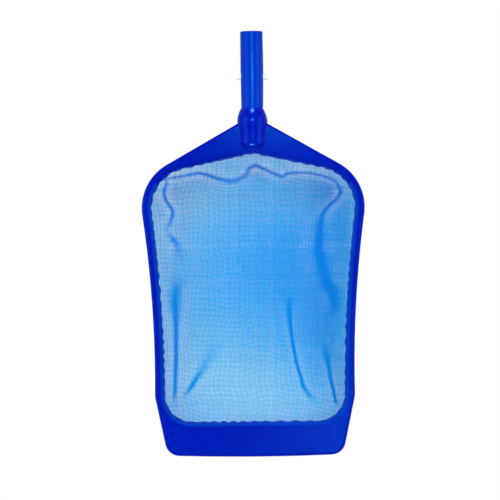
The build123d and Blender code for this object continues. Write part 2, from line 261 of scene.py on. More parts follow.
# %% Moulded grain
def make_grain():
    """Height and gloss variation of a moulded skin: fine grain over slow waves where it shrank."""
    group, given, out = new_group(
        "moulded_grain",
        [("Grain Scale", 2600.0), ("Sink Scale", 22.0), ("Grain", 0.25), ("Sink", 1.0)],
        [("Height", "NodeSocketFloat"), ("Gloss Change", "NodeSocketFloat")],
    )
    fine = noise(group, given.outputs["Grain Scale"], detail=3.0)
    slow = noise(group, given.outputs["Sink Scale"], detail=1.0)
    grain = maths(group, "MULTIPLY", fine.outputs["Fac"], given.outputs["Grain"])
    sink = maths(group, "MULTIPLY", slow.outputs["Fac"], given.outputs["Sink"])
    group.links.new(maths(group, "ADD", grain, sink), out.inputs["Height"])
    group.links.new(remap(group, fine.outputs["Fac"], *NOISE_SPREAD), out.inputs["Gloss Change"])
    return group


GRAIN = make_grain()
print("group:", GRAIN.name)


# %% Scuffed rims
RIM_POINTINESS = (0.505, 0.56)
PATCH_SPREAD = (0.42, 0.62)
SCRATCH_SPREAD = (0.70, 0.76)
SCRATCH_TILT = 0.5
SCRATCH_SCALE = (900.0, 300.0, 14.0)


def make_edge_wear():
    """A mask along convex rims, broken up by noise, and sparse fine scratches."""
    group, given, out = new_group(
        "edge_wear",
        [("Breakup Scale", 160.0), ("Amount", 0.5)],
        [("Mask", "NodeSocketFloat"), ("Scratches", "NodeSocketFloat")],
    )
    shape = group.nodes.new("ShaderNodeNewGeometry")
    rim_mask = remap(group, shape.outputs["Pointiness"], *RIM_POINTINESS)
    broken = noise(group, given.outputs["Breakup Scale"], detail=4.0, roughness=0.6)
    patchy = remap(group, broken.outputs["Fac"], *PATCH_SPREAD)
    mask = maths(group, "MULTIPLY", maths(group, "MULTIPLY", rim_mask, patchy), given.outputs["Amount"])
    group.links.new(mask, out.inputs["Mask"])
    place = group.nodes.new("ShaderNodeTexCoord")
    turn = group.nodes.new("ShaderNodeMapping")
    turn.inputs["Rotation"].default_value = (0.0, SCRATCH_TILT, 0.0)
    turn.inputs["Scale"].default_value = SCRATCH_SCALE
    streak = group.nodes.new("ShaderNodeTexNoise")
    streak.inputs["Scale"].default_value = 1.0
    streak.inputs["Detail"].default_value = 2.0
    group.links.new(place.outputs["Object"], turn.inputs["Vector"])
    group.links.new(turn.outputs["Vector"], streak.inputs["Vector"])
    group.links.new(remap(group, streak.outputs["Fac"], *SCRATCH_SPREAD), out.inputs["Scratches"])
    return group


WEAR = make_edge_wear()
print("group:", WEAR.name)


# %% Dried water spots
SPOT_EDGE = (0.10, 0.28)
SPOT_AREAS = (0.5, 0.7)
SPOT_AREA_SCALE = 30.0


def make_dust():
    """A faint mask of dried spots and dust that settles unevenly."""
    group, given, out = new_group(
        "dried_spots", [("Spot Scale", 260.0), ("Amount", 0.3)], [("Mask", "NodeSocketFloat")]
    )
    cells = group.nodes.new("ShaderNodeTexVoronoi")
    place = group.nodes.new("ShaderNodeTexCoord")
    group.links.new(place.outputs["Object"], cells.inputs["Vector"])
    group.links.new(given.outputs["Spot Scale"], cells.inputs["Scale"])
    spot = remap(group, cells.outputs["Distance"], *SPOT_EDGE, to_low=1.0, to_high=0.0)
    where = remap(group, noise(group, SPOT_AREA_SCALE).outputs["Fac"], *SPOT_AREAS)
    mask = maths(group, "MULTIPLY", maths(group, "MULTIPLY", spot, where), given.outputs["Amount"])
    group.links.new(mask, out.inputs["Mask"])
    return group


DUST = make_dust()
print("group:", DUST.name)

# %% [markdown]
# ## Finishes
#
# Every finish is a Principled shader with the shared effects feeding its colour, roughness and bump.
# The frame is a high-gloss polypropylene in a deep ultramarine. The tube is the same family of plastic
# in a lighter blue. The clip is milky nylon and the screw bright steel. A tint on the specular
# reflection keeps it blue, because a clear white sheen would grey a colour as deep as this one.

# %% Material helpers


def new_material(name):
    """A node material with its Principled shader."""
    material = bpy.data.materials.new(name)
    material.use_nodes = True
    return material, material.node_tree, material.node_tree.nodes["Principled BSDF"]


def place_group(tree, group, **values):
    """A group in a material, with values set by name (underscores for spaces)."""
    node = tree.nodes.new("ShaderNodeGroup")
    node.node_tree = group
    for label, value in values.items():
        node.inputs[label.replace("_", " ")].default_value = value
    return node


def mix_colour(tree, mask, under, over):
    """A colour mix by a mask; under and over are colours or sockets."""
    node = tree.nodes.new("ShaderNodeMix")
    node.data_type = "RGBA"
    tree.links.new(mask, node.inputs["Factor"])
    for label, value in ((6, under), (7, over)):
        if isinstance(value, tuple):
            node.inputs[label].default_value = (*value, 1)
        else:
            tree.links.new(value, node.inputs[label])
    return node.outputs[2]


def bump(tree, height, strength, distance):
    """A Bump node on a height socket."""
    node = tree.nodes.new("ShaderNodeBump")
    node.inputs["Strength"].default_value = strength
    node.inputs["Distance"].default_value = distance
    tree.links.new(height, node.inputs["Height"])
    return node.outputs["Normal"]


# %% Moulded plastic
PLASTIC_IOR = 1.42
PLASTIC_SPECULAR = 0.22
BATCH_SCALE = 9.0
BATCH_SPREAD = (0.35, 0.65)
GLOSS_VARIATION = 0.06
MARK_ROUGHNESS = 0.25
SPOT_PALENESS = 0.5
GRAIN_BUMP = (0.25, 0.0002)


def moulded_plastic(name, colour, deep, scuffed, rough, sheen_tint, wear=0.5, dust=0.25):
    """A glossy moulded plastic with its colour variation, grain, scuffed rims and dried spots."""
    material, tree, shader = new_material(name)
    grain = place_group(tree, GRAIN)
    worn = place_group(tree, WEAR, Amount=wear)
    spots = place_group(tree, DUST, Amount=dust)
    slow = remap(tree, noise(tree, BATCH_SCALE).outputs["Fac"], *BATCH_SPREAD)
    base = mix_colour(tree, slow, colour, deep)
    base = mix_colour(tree, worn.outputs["Mask"], base, scuffed)
    pale = maths(tree, "MULTIPLY", spots.outputs["Mask"], SPOT_PALENESS)
    base = mix_colour(tree, pale, base, scuffed)
    tree.links.new(base, shader.inputs["Base Color"])
    gloss = remap(tree, grain.outputs["Gloss Change"], 0.0, 1.0, rough, rough + GLOSS_VARIATION)
    marks = maths(tree, "ADD", worn.outputs["Mask"], spots.outputs["Mask"])
    marks = maths(tree, "ADD", marks, worn.outputs["Scratches"])
    gloss = maths(tree, "ADD", gloss, maths(tree, "MULTIPLY", marks, MARK_ROUGHNESS))
    tree.links.new(gloss, shader.inputs["Roughness"])
    tree.links.new(bump(tree, grain.outputs["Height"], *GRAIN_BUMP), shader.inputs["Normal"])
    shader.inputs["IOR"].default_value = PLASTIC_IOR
    shader.inputs["Specular IOR Level"].default_value = PLASTIC_SPECULAR
    shader.inputs["Specular Tint"].default_value = (*sheen_tint, 1)
    return material


# %% Plastics
FRAME_BLUE = moulded_plastic(
    "frame_blue", colour=(0.0, 0.0055, 0.39), deep=(0.0, 0.0035, 0.355), scuffed=(0.002, 0.03, 0.50),
    rough=0.16, sheen_tint=(0.03, 0.40, 1.0), wear=0.4, dust=0.08
)
# The bead's lighter blue is a painted highlight, for the light a rounded bead would catch.
BEAD_PAINTED_HIGHLIGHT = moulded_plastic(
    "bead_painted_highlight", colour=(0.0005, 0.040, 0.46), deep=(0.0003, 0.030, 0.43), scuffed=(0.004, 0.05, 0.60),
    rough=0.20, sheen_tint=(0.0, 0.35, 1.0), wear=0.4, dust=0.08
)
TUBE_BLUE = moulded_plastic(
    "tube_blue", colour=(0.0, 0.033, 0.47), deep=(0.0, 0.026, 0.44), scuffed=(0.003, 0.05, 0.58),
    rough=0.15, sheen_tint=(0.02, 0.38, 1.0), wear=0.3, dust=0.08
)
RING_BLUE = moulded_plastic(
    "ring_blue", colour=(0.0, 0.0030, 0.36), deep=(0.0, 0.0010, 0.32), scuffed=(0.002, 0.03, 0.50),
    rough=0.24, sheen_tint=(0.0, 0.30, 1.0), wear=0.6, dust=0.15
)
CLIP_WHITE = moulded_plastic(
    "clip_white", colour=(0.86, 0.90, 0.95), deep=(0.80, 0.86, 0.93), scuffed=(0.92, 0.94, 0.96),
    rough=0.30, sheen_tint=(1.0, 1.0, 1.0), wear=0.2
)
NYLON_GLOW = 0.25
NYLON_DEPTH = 0.002

nylon = CLIP_WHITE.node_tree.nodes["Principled BSDF"]
nylon.inputs["Subsurface Weight"].default_value = NYLON_GLOW
nylon.inputs["Subsurface Radius"].default_value = (NYLON_DEPTH, NYLON_DEPTH, NYLON_DEPTH)
print("plastics:", [m.name for m in (FRAME_BLUE, BEAD_PAINTED_HIGHLIGHT, TUBE_BLUE, RING_BLUE, CLIP_WHITE)])


# %% Steel
STEEL_GRAIN = 4000.0
STEEL_ROUGHNESS = (0.2, 0.38)
STEEL_BUMP = (0.2, 0.00005)


def brushed_steel():
    """Bright stainless steel with turning marks and wear at its rims."""
    material, tree, shader = new_material("screw_steel")
    worn = place_group(tree, WEAR, Breakup_Scale=600.0, Amount=0.8)
    tone = mix_colour(tree, worn.outputs["Mask"], (0.55, 0.56, 0.58), (0.78, 0.78, 0.80))
    tree.links.new(tone, shader.inputs["Base Color"])
    shader.inputs["Metallic"].default_value = 1.0
    fine = noise(tree, STEEL_GRAIN, detail=3.0)
    polish = remap(tree, fine.outputs["Fac"], *NOISE_SPREAD, *STEEL_ROUGHNESS)
    tree.links.new(polish, shader.inputs["Roughness"])
    tree.links.new(bump(tree, fine.outputs["Fac"], *STEEL_BUMP), shader.inputs["Normal"])
    return material


STEEL = brushed_steel()
print("steel:", STEEL.name)


# %% Dress the rigid pieces
def dress(node, material):
    """Gives a CAD node a material."""
    piece = nodes[node]
    piece.data.materials.clear()
    piece.data.materials.append(material)


for node, material in (
    ("front_frame", FRAME_BLUE),
    ("socket_tube", TUBE_BLUE),
    ("clamp_ring", RING_BLUE),
    ("hub_screw", STEEL),
    ("clip_arm_right", CLIP_WHITE),
    ("clip_arm_left", CLIP_WHITE),
    ("clip_bend", CLIP_WHITE),
):
    dress(node, material)
print("faces:", {name: len(piece.data.polygons) for name, piece in nodes.items()})

# %% [markdown]
# The stepped bead round the opening is a shade lighter: a painted highlight, for the light that a
# rounded bead would catch. It is one flat face of the frame, so its triangles can be picked by
# where they lie and which way they face, and they take a second material in the frame's own slots.

# %% Bead faces
BEAD_BEHIND_FRONT = 0.002
BEAD_BELOW_RING = 0.045
LEVEL_TOLERANCE = 0.0002
FACES_FRONT = -0.9

# The frame is as deep in front of y = 0 as behind it, where the ring's back is flush with it.
ring_top_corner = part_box("clamp_ring")[1]
BEAD_Y = BEAD_BEHIND_FRONT - ring_top_corner.y
BEAD_TOP = ring_top_corner.z - BEAD_BELOW_RING


def paint_bead_highlight():
    """Gives the bead's flat triangles their own lighter material, a painted highlight, and says how many
    there are.
    """
    mesh = nodes["front_frame"].data
    mesh.materials.append(BEAD_PAINTED_HIGHLIGHT)
    count = 0
    for face in mesh.polygons:
        level = abs(face.center.y - BEAD_Y) < LEVEL_TOLERANCE
        if level and face.normal.y < FACES_FRONT and face.center.z < BEAD_TOP:
            face.material_index = 1
            count += 1
    return count


print("bead triangles:", paint_bead_highlight())

# %% [markdown]
# ## The opening's outline
#
# The netting, its hem and its cord all follow the edge of the opening. A moulder would take that edge
# from the frame itself, and so does this lesson: rays cast outwards inside the frame, in the plane of
# the hem, stop at the opening's wall.

# %% Trace the opening
OUTLINE_STEPS = 1440
hem_low, hem_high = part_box("hem_tape")
bag_low, bag_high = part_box("net_bag")
HEM_Y = hem_high.y
CENTRE = ((bag_low.x + bag_high.x) / 2, (bag_low.z + bag_high.z) / 2)


def trace_opening():
    """Points on the opening's edge, in the plane of x and z, evenly spaced along it."""
    found = []
    for i in range(2 * OUTLINE_STEPS):
        angle = math.pi * i / OUTLINE_STEPS
        ray = Vector((math.cos(angle), 0, math.sin(angle)))
        start = Vector((CENTRE[0], (hem_low.y + HEM_Y) / 2, CENTRE[1]))
        hit, point, _, _ = nodes["front_frame"].ray_cast(start, ray)
        assert hit, "a ray missed the frame"
        found.append((point.x, point.z))
    loop = np.array(found)
    closed = np.vstack([loop, loop[:1]])
    along = np.concatenate([[0], np.cumsum(np.linalg.norm(np.diff(closed, axis=0), axis=1))])
    even = np.linspace(0, along[-1], OUTLINE_STEPS, endpoint=False)
    return np.stack([np.interp(even, along, closed[:, k]) for k in (0, 1)], axis=1), along[-1]


OUTLINE, PERIMETER = trace_opening()
print("opening: perimeter", round(PERIMETER, 4), "m, size", np.ptp(OUTLINE, axis=0).round(4))


# %% Outward normals
NORMAL_REACH = 3
BATCH = 4000


def outward_normals(loop):
    """Unit normals that point away from the opening, smoothed a little along it."""
    ahead = np.roll(loop, -NORMAL_REACH, axis=0) - np.roll(loop, NORMAL_REACH, axis=0)
    normals = np.stack([ahead[:, 1], -ahead[:, 0]], axis=1)
    normals /= np.linalg.norm(normals, axis=1, keepdims=True)
    if (normals * (loop - loop.mean(0))).sum() < 0:
        normals = -normals
    return normals


NORMALS = outward_normals(OUTLINE)


def edge_distance(x, z):
    """How far points lie inside the opening's edge (negative outside), in metres, a batch at a time."""
    flat = np.stack([np.ravel(x), np.ravel(z)], axis=1)
    depth = np.empty(len(flat))
    for first in range(0, len(flat), BATCH):
        some = flat[first : first + BATCH]
        gap = some[:, None] - OUTLINE[None]
        square = (gap**2).sum(2)
        nearest = square.argmin(1)
        away = gap[np.arange(len(some)), nearest]
        side = -np.sign((away * NORMALS[nearest]).sum(1))
        depth[first : first + BATCH] = side * np.sqrt(square.min(1))
    return depth.reshape(np.shape(x))


probe = np.meshgrid(np.linspace(-0.1, 0.1, 21), np.linspace(-0.48, -0.16, 33))
print("deepest point inside the edge:", round(float(edge_distance(*probe).max()), 4), "m")

# %% [markdown]
# ## The bag's shape
#
# A shallow bag isn't a smooth bowl. The net hangs from its hem in a sloping wall, breaks over a crease
# and runs on as a floor, deep under the hub and shallow behind the lip, where it empties. A bowl made by
# subdivision would miss the creases, so the depth is worked out here as a height map: wall and floor are
# two surfaces, and the crease is the closed line where one gives way to the other. Along that line a
# softness says whether the net breaks sharply or rolls over.

# %% Crease lines
# Each point: right and drop below the origin in mm, softness in mm, strength from 0 to 1.
BREAK_LINE = (
    (-108, 181, 1.0, 0.6), (-93, 178, 1.0, 1.0), (-70, 174, 1.4, 1.0), (-60, 175, 1.8, 1.0),
    (-48, 179, 2.2, 0.9), (-34, 183, 3.0, 0.8), (-22, 183, 3.5, 0.7), (-10, 177, 3.0, 0.7),
    (-4, 168, 2.2, 0.9), (4, 165, 1.8, 1.0), (14, 169, 1.8, 1.0), (35, 178, 1.8, 0.9),
    (44, 175, 1.4, 0.9), (55, 174, 1.0, 1.0), (73, 175, 0.9, 1.0), (95, 181, 1.1, 1.0),
    (101, 184, 1.2, 1.0), (106, 190, 1.5, 1.0), (109, 197, 1.8, 1.0), (108, 202, 1.8, 1.0),
    (104, 208, 1.8, 1.0), (96, 215, 2.0, 1.0), (90, 222, 2.6, 0.9), (86, 230, 4.0, 0.8),
    (84, 241, 6.0, 0.75), (83, 255, 7.0, 0.7), (82, 271, 8.0, 0.7), (85, 286, 8.0, 0.75),
    (90, 308, 8.0, 0.75), (98, 325, 8.0, 0.75), (101, 338, 7.0, 0.6), (101, 353, 8.0, 0.25),
    (101, 372, 10.0, 0.05), (98, 410, 12.0, 0.0), (84, 447, 14.0, 0.0), (50, 464, 18.0, 0.0),
    (0, 468, 20.0, 0.0), (-60, 464, 18.0, 0.0), (-94, 466, 9.0, 0.0), (-101, 459, 1.6, 0.3),
    (-100, 447, 2.0, 0.8), (-99, 424, 2.3, 0.9), (-98, 400, 2.4, 0.95), (-98, 377, 3.0, 0.9),
    (-98, 356, 4.5, 0.8), (-99, 337, 7.5, 0.7), (-98, 320, 9.0, 0.55), (-94, 300, 12.0, 0.15),
    (-93, 280, 8.0, 0.25), (-96, 264, 5.0, 0.6), (-102, 254, 3.5, 0.7), (-107, 247, 3.5, 0.35),
    (-107, 241, 3.0, 0.35), (-104, 235, 2.5, 0.7), (-101, 225, 2.0, 1.0), (-102, 218, 1.9, 1.0),
    (-106, 212, 1.8, 1.0), (-110, 205, 1.8, 1.0), (-111, 196, 1.8, 1.0), (-108, 186, 1.6, 0.8),
)
# Each fold: name, height and run-out in mm (negative where it runs out to its left), and its points.
FOLDS = (
    ("right_long", 2.0, 14.0, ((45, 322, 6, 0), (44, 345, 3, 0.45), (45, 363, 1.6, 0.9), (48, 387, 1.1, 1),
                               (52, 410, 1, 1), (58, 431, 1.2, 1), (61, 442, 2, 0.7),
                               (70, 455, 3.5, 0.25), (76, 462, 5, 0))),
    ("right_short", 1.6, -12.0, ((83, 379, 7, 0), (89, 399, 4, 0.3), (92, 415, 1.8, 0.7), (94, 429, 1.1, 1),
                                 (97, 443, 0.8, 1), (100, 457, 0.8, 0.9), (103, 465, 1.2, 0))),
    ("left_slant", 1.8, -12.0, ((-43, 378, 12, 0), (-56, 401, 9, 0.15), (-65, 418, 5.5, 0.3),
                                (-75, 433, 3, 0.6), (-82, 444, 2, 0.6), (-89, 453, 2, 0))),
)
print("crease points:", len(BREAK_LINE), "folds:", [name for name, _, _, _ in FOLDS])

# %% Smooth lines through points


def smooth_line(points, closed, step=1.0):
    """A Catmull-Rom line through rows of numbers, sampled about a step apart."""
    rows = np.array(points, float)
    count = len(rows)
    spans = count if closed else count - 1
    parts = []
    for i in range(spans):
        around = [(i + k) % count if closed else min(max(i + k, 0), count - 1) for k in (-1, 0, 1, 2)]
        a, b, c, d = rows[around]
        pieces = max(2, int(np.linalg.norm((c - b)[:2]) / step))
        t = np.arange(pieces)[:, None] / pieces
        bend = (2 * a - 5 * b + 4 * c - d) * t**2 + (3 * b - a - 3 * c + d) * t**3
        parts.append(0.5 * (2 * b + (c - a) * t + bend))
    if not closed:
        parts.append(rows[-1:])
    return np.vstack(parts)


def nearest_on(line, x, drop):
    """Signed distance to a line (positive on its right as it runs) and the nearest sample's number."""
    ahead = np.roll(line[:, :2], -1, axis=0) - np.roll(line[:, :2], 1, axis=0)
    ahead[0], ahead[-1] = line[1, :2] - line[0, :2], line[-1, :2] - line[-2, :2]
    flat = np.stack([x.ravel(), drop.ravel()], axis=1)
    gap, pick = np.empty(len(flat)), np.empty(len(flat), int)
    for first in range(0, len(flat), BATCH):
        some = flat[first : first + BATCH]
        away = some[:, None] - line[None, :, :2]
        square = (away**2).sum(2)
        near = square.argmin(1)
        rows = np.arange(len(some))
        cross = ahead[near, 0] * away[rows, near, 1] - ahead[near, 1] * away[rows, near, 0]
        gap[first : first + BATCH] = np.sign(cross) * np.sqrt(square[rows, near])
        pick[first : first + BATCH] = near
    return gap.reshape(x.shape), pick.reshape(x.shape)


def ease(value, low, high):
    """A smooth 0 to 1 between two values."""
    t = np.clip((value - low) / (high - low), 0, 1)
    return t * t * (3 - 2 * t)


# %% Heights of the bag
MARGIN = 6.0
FLOOR_DEPTH = (8.0, 30.0)
FLOOR_CURVE = 0.9
FLOOR_START = 30.0
FLOOR_ENDS = 40.0
WALL_DEPTH = (5.0, 12.0)
WALL_RUN = 12.0
WALL_RAMP = (25.0, 45.0)
STEP_SOFTNESS = 6.5
LOCAL_STEP = 0.6
STEP_REACH = 14.0

left, right = OUTLINE[:, 0].min() / MM - MARGIN, OUTLINE[:, 0].max() / MM + MARGIN
top, bottom = -OUTLINE[:, 1].max() / MM - MARGIN, -OUTLINE[:, 1].min() / MM + MARGIN


def wall_and_floor(x, drop, inside):
    """The bag without its loose folds: a wall that hangs from the hem, and a floor past its break."""
    share = ease(drop, bottom - WALL_RAMP[0], top + WALL_RAMP[1])
    hang = WALL_DEPTH[0] + (WALL_DEPTH[1] - WALL_DEPTH[0]) * share
    wall = hang * (1 - np.exp(-np.maximum(inside, 0) / WALL_RUN))
    run = (drop - top - FLOOR_START) / (bottom - top - FLOOR_ENDS)
    rise = 1 - np.clip(run, 0, 1) ** FLOOR_CURVE
    ground = FLOOR_DEPTH[0] + (FLOOR_DEPTH[1] - FLOOR_DEPTH[0]) * rise
    line = smooth_line(BREAK_LINE, True)
    gap, pick = nearest_on(line, x, drop)
    over = 1 / (1 + np.exp(-2 * gap / np.maximum(line[pick, 2], STEP_SOFTNESS)))
    edge = line[pick, 3] * np.tanh(gap / line[pick, 2]) * np.exp(-((gap / STEP_REACH) ** 2))
    return wall + np.maximum(ground - wall, 0) * over + LOCAL_STEP * edge


def fold_height(fold, x, drop):
    """What one loose fold adds: a step at its line that runs out on one side."""
    _, amount, run, points = fold
    line = smooth_line(points, False)
    gap, pick = nearest_on(line, x, drop)
    gap = gap * np.sign(run)
    rise = line[pick, 3] / (1 + np.exp(-2 * gap / line[pick, 2]))
    return amount * rise * np.exp(-np.maximum(gap, 0) / abs(run))


print("front view in mm: across", left.round(1), right.round(1), "down", top.round(1), bottom.round(1))

# %% The height map
MAP_STEP = 1.0
WAVE_HEIGHT = 0.7
WAVE_INSET = (4.0, 25.0)
NET_LIFT = 0.55


def bag_map(x, drop):
    """The net's depth behind its hem, in millimetres, and how far each point lies inside the edge."""
    inside = edge_distance(x * MM, -drop * MM) / MM
    depth = wall_and_floor(x, drop, inside) + sum(fold_height(fold, x, drop) for fold in FOLDS)
    # Waves whose phase wanders, so that no two look alike; what divides is a wavelength over 2 pi.
    waves = np.sin(x / 11 + 1.3 * np.sin(drop / 31)) * np.sin(drop / 17 + 1.1 * np.sin(x / 23))
    depth += WAVE_HEIGHT * waves * ease(inside, *WAVE_INSET)
    return NET_LIFT + np.where(inside > 0, depth, 0), inside


coarse_x, coarse_drop = np.arange(left, right, MAP_STEP), np.arange(top, bottom, MAP_STEP)
coarse_depth, coarse_inside = bag_map(*np.meshgrid(coarse_x, coarse_drop, indexing="ij"))
print("bag depth in mm:", round(float(coarse_depth.max()), 1), "map", coarse_depth.shape)

# %% [markdown]
# ## Weaving the net
#
# Netting could be a sheet with a see-through pattern, but close up and from the side such a sheet looks
# like printed film, and its export has no holes. Here every thread is real: a thin closed strip that
# goes over one crossing thread and under the next. A crease takes up cloth from both sides, so the
# crossings are pulled towards it and crowd together there. That crowding, with painted shade on the
# threads in the crease, draws the dark lines of a gathered net.

# %% Where the net is creased
PITCH = 1.56
PULL = 0.55
# How far a crease reaches: a share of its softness, and millimetres on top.
PULL_REACH = (1.4, 2.5)
CREASE_REACH = (0.75, 0.7)


def nearness(distance, reach):
    """1 at no distance, and down to nothing a little past twice the reach."""
    return np.exp(-((distance / reach) ** 2))


def crease_facts(x, drop):
    """How creased the net is at points, from 0 to 1, and the pull of its creases on the threads."""
    crease, pull_x, pull_drop = np.zeros(x.shape), np.zeros(x.shape), np.zeros(x.shape)
    lines = [smooth_line(BREAK_LINE, True)] + [smooth_line(points, False) for _, _, _, points in FOLDS]
    for line in lines:
        gap, pick = nearest_on(line, x, drop)
        soft, strength = line[pick, 2], np.clip(line[pick, 3], 0, 1)
        draw = PULL * strength * nearness(gap, PULL_REACH[0] * soft + PULL_REACH[1])
        pull_x += (line[pick, 0] - x) * draw
        pull_drop += (line[pick, 1] - drop) * draw
        close = nearness(gap, CREASE_REACH[0] * soft + CREASE_REACH[1])
        crease = np.maximum(crease, strength * close)
    return crease, pull_x, pull_drop


# %% Tables of the front view
def sample(table, x, drop):
    """Bilinear values of a map made on the coarse grid."""
    row = np.clip((x - left) / MAP_STEP, 0, table.shape[0] - 1.001)
    column = np.clip((drop - top) / MAP_STEP, 0, table.shape[1] - 1.001)
    r, c = row.astype(int), column.astype(int)
    fr, fc = row - r, column - c
    high = table[r, c] * (1 - fc) + table[r, c + 1] * fc
    low = table[r + 1, c] * (1 - fc) + table[r + 1, c + 1] * fc
    return high * (1 - fr) + low * fr


def soften(table):
    """A table averaged with its four neighbours, edges held."""
    wide = np.pad(table, 1, mode="edge")
    return (2 * table + wide[:-2, 1:-1] + wide[2:, 1:-1] + wide[1:-1, :-2] + wide[1:-1, 2:]) / 6


# %% Crossings
LONG_DRIFT = (0.9, 1.1)
SHORT_DRIFT = 0.5
SOFTENINGS = 2


def find_crossings():
    """The weave's crossings in the front view: a square grid that drifts and is pulled to creases."""
    x, drop = np.meshgrid(np.arange(left, right, PITCH), np.arange(top, bottom, PITCH), indexing="ij")
    sway = LONG_DRIFT[0] * np.sin(drop / 27 + 0.6 * np.sin(x / 40))
    x = x + sway + SHORT_DRIFT * np.sin(drop / 9.5 + x / 60)
    sag = LONG_DRIFT[1] * np.sin(x / 21 + 0.8 * np.sin(drop / 50))
    drop = drop + sag + SHORT_DRIFT * np.sin(x / 8.7 - drop / 70)
    _, pull_x, pull_drop = crease_facts(x, drop)
    for _ in range(SOFTENINGS):
        pull_x, pull_drop = soften(pull_x), soften(pull_drop)
    return x + pull_x, drop + pull_drop


cross_x, cross_drop = find_crossings()
CREASE = crease_facts(cross_x, cross_drop)[0]
INSIDE = sample(coarse_inside, cross_x, cross_drop)
cross_depth = sample(coarse_depth, cross_x, cross_drop)
CROSSINGS = np.stack([cross_x * MM, HEM_Y + cross_depth * MM, -cross_drop * MM], axis=-1)
print("crossings inside the edge:", int((INSIDE > 0).sum()))


# %% Directions along the net
TINY = 1e-12


def unit(vectors):
    """Vectors of length one."""
    return vectors / np.maximum(np.linalg.norm(vectors, axis=-1, keepdims=True), TINY)


ALONG_WARP = unit(np.gradient(CROSSINGS, axis=1))
ALONG_WEFT = unit(np.gradient(CROSSINGS, axis=0))
SURFACE_UP = unit(np.cross(ALONG_WARP, ALONG_WEFT))
SURFACE_UP *= -np.sign(SURFACE_UP[..., 1:2] + TINY)
print("least forward share of the net's normals:", float(-SURFACE_UP[..., 1].max().round(3)))

# %% [markdown]
# ## How full the weave looks
#
# Where the bag hangs against its side the cloth lies steeper and its threads close up, and round the rim
# it is stretched and open. So the threads' width is a map too: a mean share of the pitch, with a few
# broad soft areas added or taken off, a thinner rim, and almost closed cloth in the creases.

# %% Thread width
MEAN_SHARE = 0.66
CREASED_SHARE = 0.98
SHARE_LIMITS = (0.5, 0.86)
# Each area: what it adds to the share, then its centre and its half width and height in mm.
FULL_AREAS = (
    (0.14, 55, 290, 70, 95), (0.17, 114, 290, 32, 120), (0.06, -5, 288, 70, 85), (0.11, 85, 400, 45, 60),
    (0.03, 90, 205, 60, 40), (-0.04, 20, 215, 70, 40), (-0.13, 0, 445, 95, 60), (-0.06, -75, 215, 40, 45),
    (-0.04, -75, 410, 40, 50),
)
RIM_REACH = 9.0
RIM_THINNING = 0.035
# Painted light at the rim: it takes painted shade off the threads where the frame shades them.
PAINTED_RIM_LIGHT = 0.8
RIM_FADE = (20.0, 70.0)
# How the painted shade on the threads deepens with the weave's fullness.
PAINTED_SHADE_GAIN = 1.9
PAINTED_SHADE_FLOOR = 0.54

RIM = np.exp(-np.maximum(INSIDE, 0) / RIM_REACH) * ease(bottom - cross_drop, *RIM_FADE)


def fullness():
    """Thread width as a share of the pitch, before the creases close it."""
    share = MEAN_SHARE - RIM_THINNING * RIM
    for amount, x, drop, wide, tall in FULL_AREAS:
        share = share + amount * nearness(cross_x - x, wide) * nearness(cross_drop - drop, tall)
    return np.clip(share, *SHARE_LIMITS)


FULLNESS = fullness()
SHARE = FULLNESS + (CREASED_SHARE - FULLNESS) * CREASE
# Painted shade: the threads' colour deepens where the weave is fuller and fully in the creases, and at the
# rim painted light takes some of it off where the frame shades the net.
PAINTED_SHADE_DEPTH = np.clip(PAINTED_SHADE_GAIN * (FULLNESS - PAINTED_SHADE_FLOOR), 0, 1) * (1 - PAINTED_RIM_LIGHT * RIM)
PAINTED_SHADE_DEPTH += (1 - PAINTED_SHADE_DEPTH) * CREASE
print("thread width, share of pitch:", SHARE.min().round(2), "to", SHARE.max().round(2))


# %% A mesh from arrays
def filled_mesh(name, points, corners, sizes):
    """A mesh from arrays of points, corner numbers and face sizes, without the points no face uses."""
    used = np.zeros(len(points), bool)
    used[corners] = True
    renumber = np.cumsum(used) - 1
    mesh = bpy.data.meshes.new(name)
    mesh.vertices.add(int(used.sum()))
    mesh.vertices.foreach_set("co", points[used].astype(np.float32).ravel())
    mesh.loops.add(len(corners))
    mesh.loops.foreach_set("vertex_index", renumber[corners].astype(np.int32))
    mesh.polygons.add(len(sizes))
    mesh.polygons.foreach_set("loop_start", (np.cumsum(sizes) - sizes).astype(np.int32))
    mesh.update(calc_edges=True)
    return mesh, used


# %% Strips along the net
THREAD_SIDES = 3


def strip_faces(keep):
    """Corner numbers and face sizes of closed strips along the rows of kept crossings."""
    number = np.full(keep.shape, -1)
    number[keep] = np.arange(keep.sum())
    joined = keep[:, :-1] & keep[:, 1:]
    a, b = number[:, :-1][joined] * THREAD_SIDES, number[:, 1:][joined] * THREAD_SIDES
    edges = [(k, (k + 1) % THREAD_SIDES) for k in range(THREAD_SIDES)]
    quads = [np.stack([a + k, a + beside, b + beside, b + k], axis=1) for k, beside in edges]
    behind = np.pad(joined, ((0, 0), (1, 0)))[keep]
    ahead = np.pad(joined, ((0, 0), (0, 1)))[keep]
    first = np.arange(keep.sum())[~behind & ahead] * THREAD_SIDES
    last = np.arange(keep.sum())[behind & ~ahead] * THREAD_SIDES
    caps = [np.stack([first + 2, first + 1, first], axis=1), np.stack([last, last + 1, last + 2], axis=1)]
    corners = np.concatenate([np.vstack(quads).ravel(), np.vstack(caps).ravel()])
    return corners, np.concatenate([np.full(THREAD_SIDES * len(a), 4), np.full(2 * len(first), 3)])


# %% Threads
THREAD_HALF = 0.18
TUCK_IN = 2.5
UNEVENNESS = 0.05
UV_SPREAD = 0.001
rng = np.random.default_rng(7)


